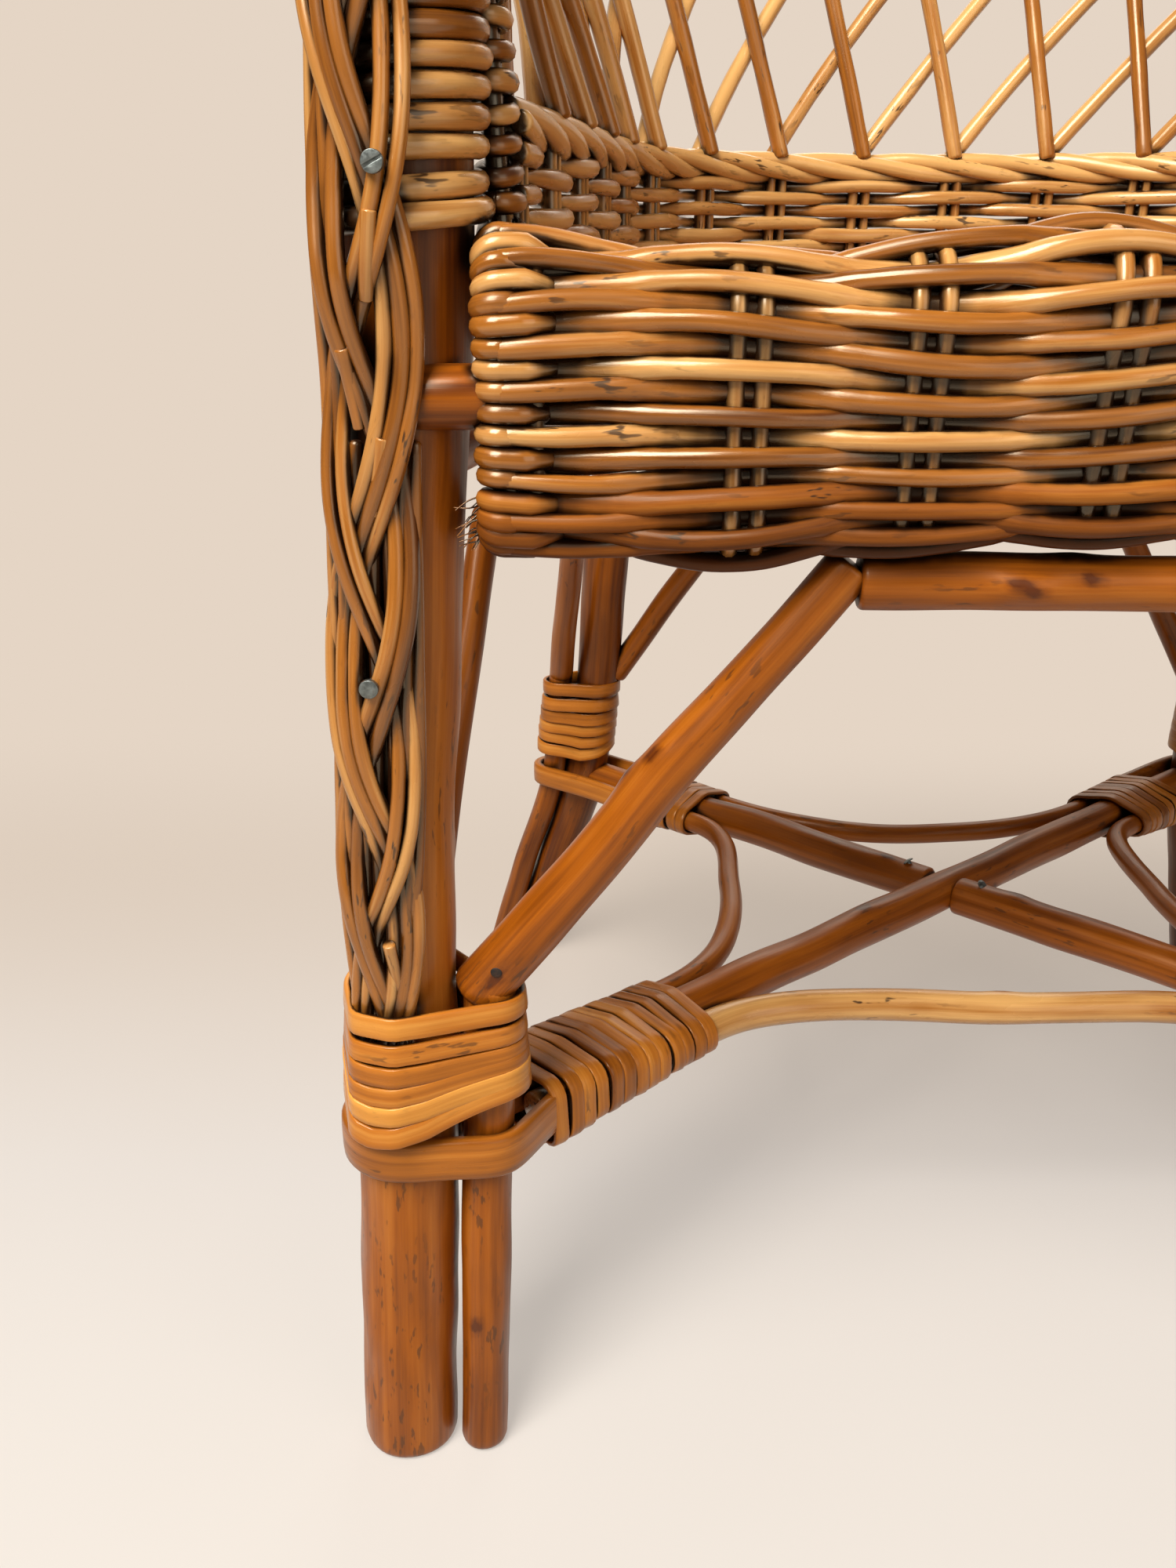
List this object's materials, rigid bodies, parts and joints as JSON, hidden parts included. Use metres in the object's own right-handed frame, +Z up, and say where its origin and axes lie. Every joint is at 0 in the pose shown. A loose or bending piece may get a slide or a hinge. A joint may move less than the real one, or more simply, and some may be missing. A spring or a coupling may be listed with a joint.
{
  "type": "child wicker armchair",
  "caption": "Child's armchair of peeled willow: bound pole legs, braced cross with bows, woven seat and apron, lattice tub back with a plaited rim.",
  "frame": {"origin": "on the floor, under the middle of the chair's bounding box", "axes": "+Z up, the front of the chair faces -Y, +X to the right as seen from the front"},
  "size_m": [0.3582, 0.3144, 0.5714],
  "materials": {
    "willow_pole": "varnished",
    "willow_rod": "varnished",
    "cane": "varnished",
    "nail": "dull"
  },
  "bodies": {
    "root": {"brace_nails": "nail", "cross_half_front_right": "willow_pole", "cross_half_rear_left": "willow_pole", "cross_nails": "nail", "cross_through": "willow_pole", "front_apron": "willow_rod", "front_bar": "willow_pole", "front_bow": "willow_pole", "front_brace_left": "willow_pole", "front_brace_right": "willow_pole", "front_corner_binding_left": "cane", "front_corner_binding_right": "cane", "front_leg_binding_left": "cane", "front_leg_binding_right": "cane", "front_leg_doubler_left": "willow_pole", "front_leg_doubler_right": "willow_pole", "front_leg_left": "willow_pole", "front_leg_loop_left": "willow_pole", "front_leg_loop_right": "willow_pole", "front_leg_right": "willow_pole", "front_seat_rail": "willow_pole", "lattice_inner": "willow_rod", "lattice_outer": "willow_rod", "leg_plait_left": "willow_rod", "leg_plait_right": "willow_rod", "plait_nails": "nail", "post_coil_left": "willow_rod", "post_coil_right": "willow_rod", "rear_bar": "willow_pole", "rear_bow": "willow_pole", "rear_brace_left": "willow_pole", "rear_brace_right": "willow_pole", "rear_corner_binding_left": "cane", "rear_corner_binding_right": "cane", "rear_leg_binding_left": "cane", "rear_leg_binding_right": "cane", "rear_leg_doubler_left": "willow_pole", "rear_leg_doubler_right": "willow_pole", "rear_leg_left": "willow_pole", "rear_leg_loop_left": "willow_pole", "rear_leg_loop_right": "willow_pole", "rear_leg_right": "willow_pole", "rear_seat_rail": "willow_pole", "rim_core_rod": "willow_pole", "rim_plait": "willow_rod", "seat_band": "willow_rod", "seat_weave": "willow_rod", "side_bar_left": "willow_pole", "side_bar_right": "willow_pole", "side_bow_left": "willow_pole", "side_bow_right": "willow_pole", "side_front_brace_left": "willow_pole", "side_front_brace_right": "willow_pole", "side_rear_brace_left": "willow_pole", "side_rear_brace_right": "willow_pole", "side_seat_rail_left": "willow_pole", "side_seat_rail_right": "willow_pole", "waling_border": "willow_rod"}
  },
  "joints": []
}
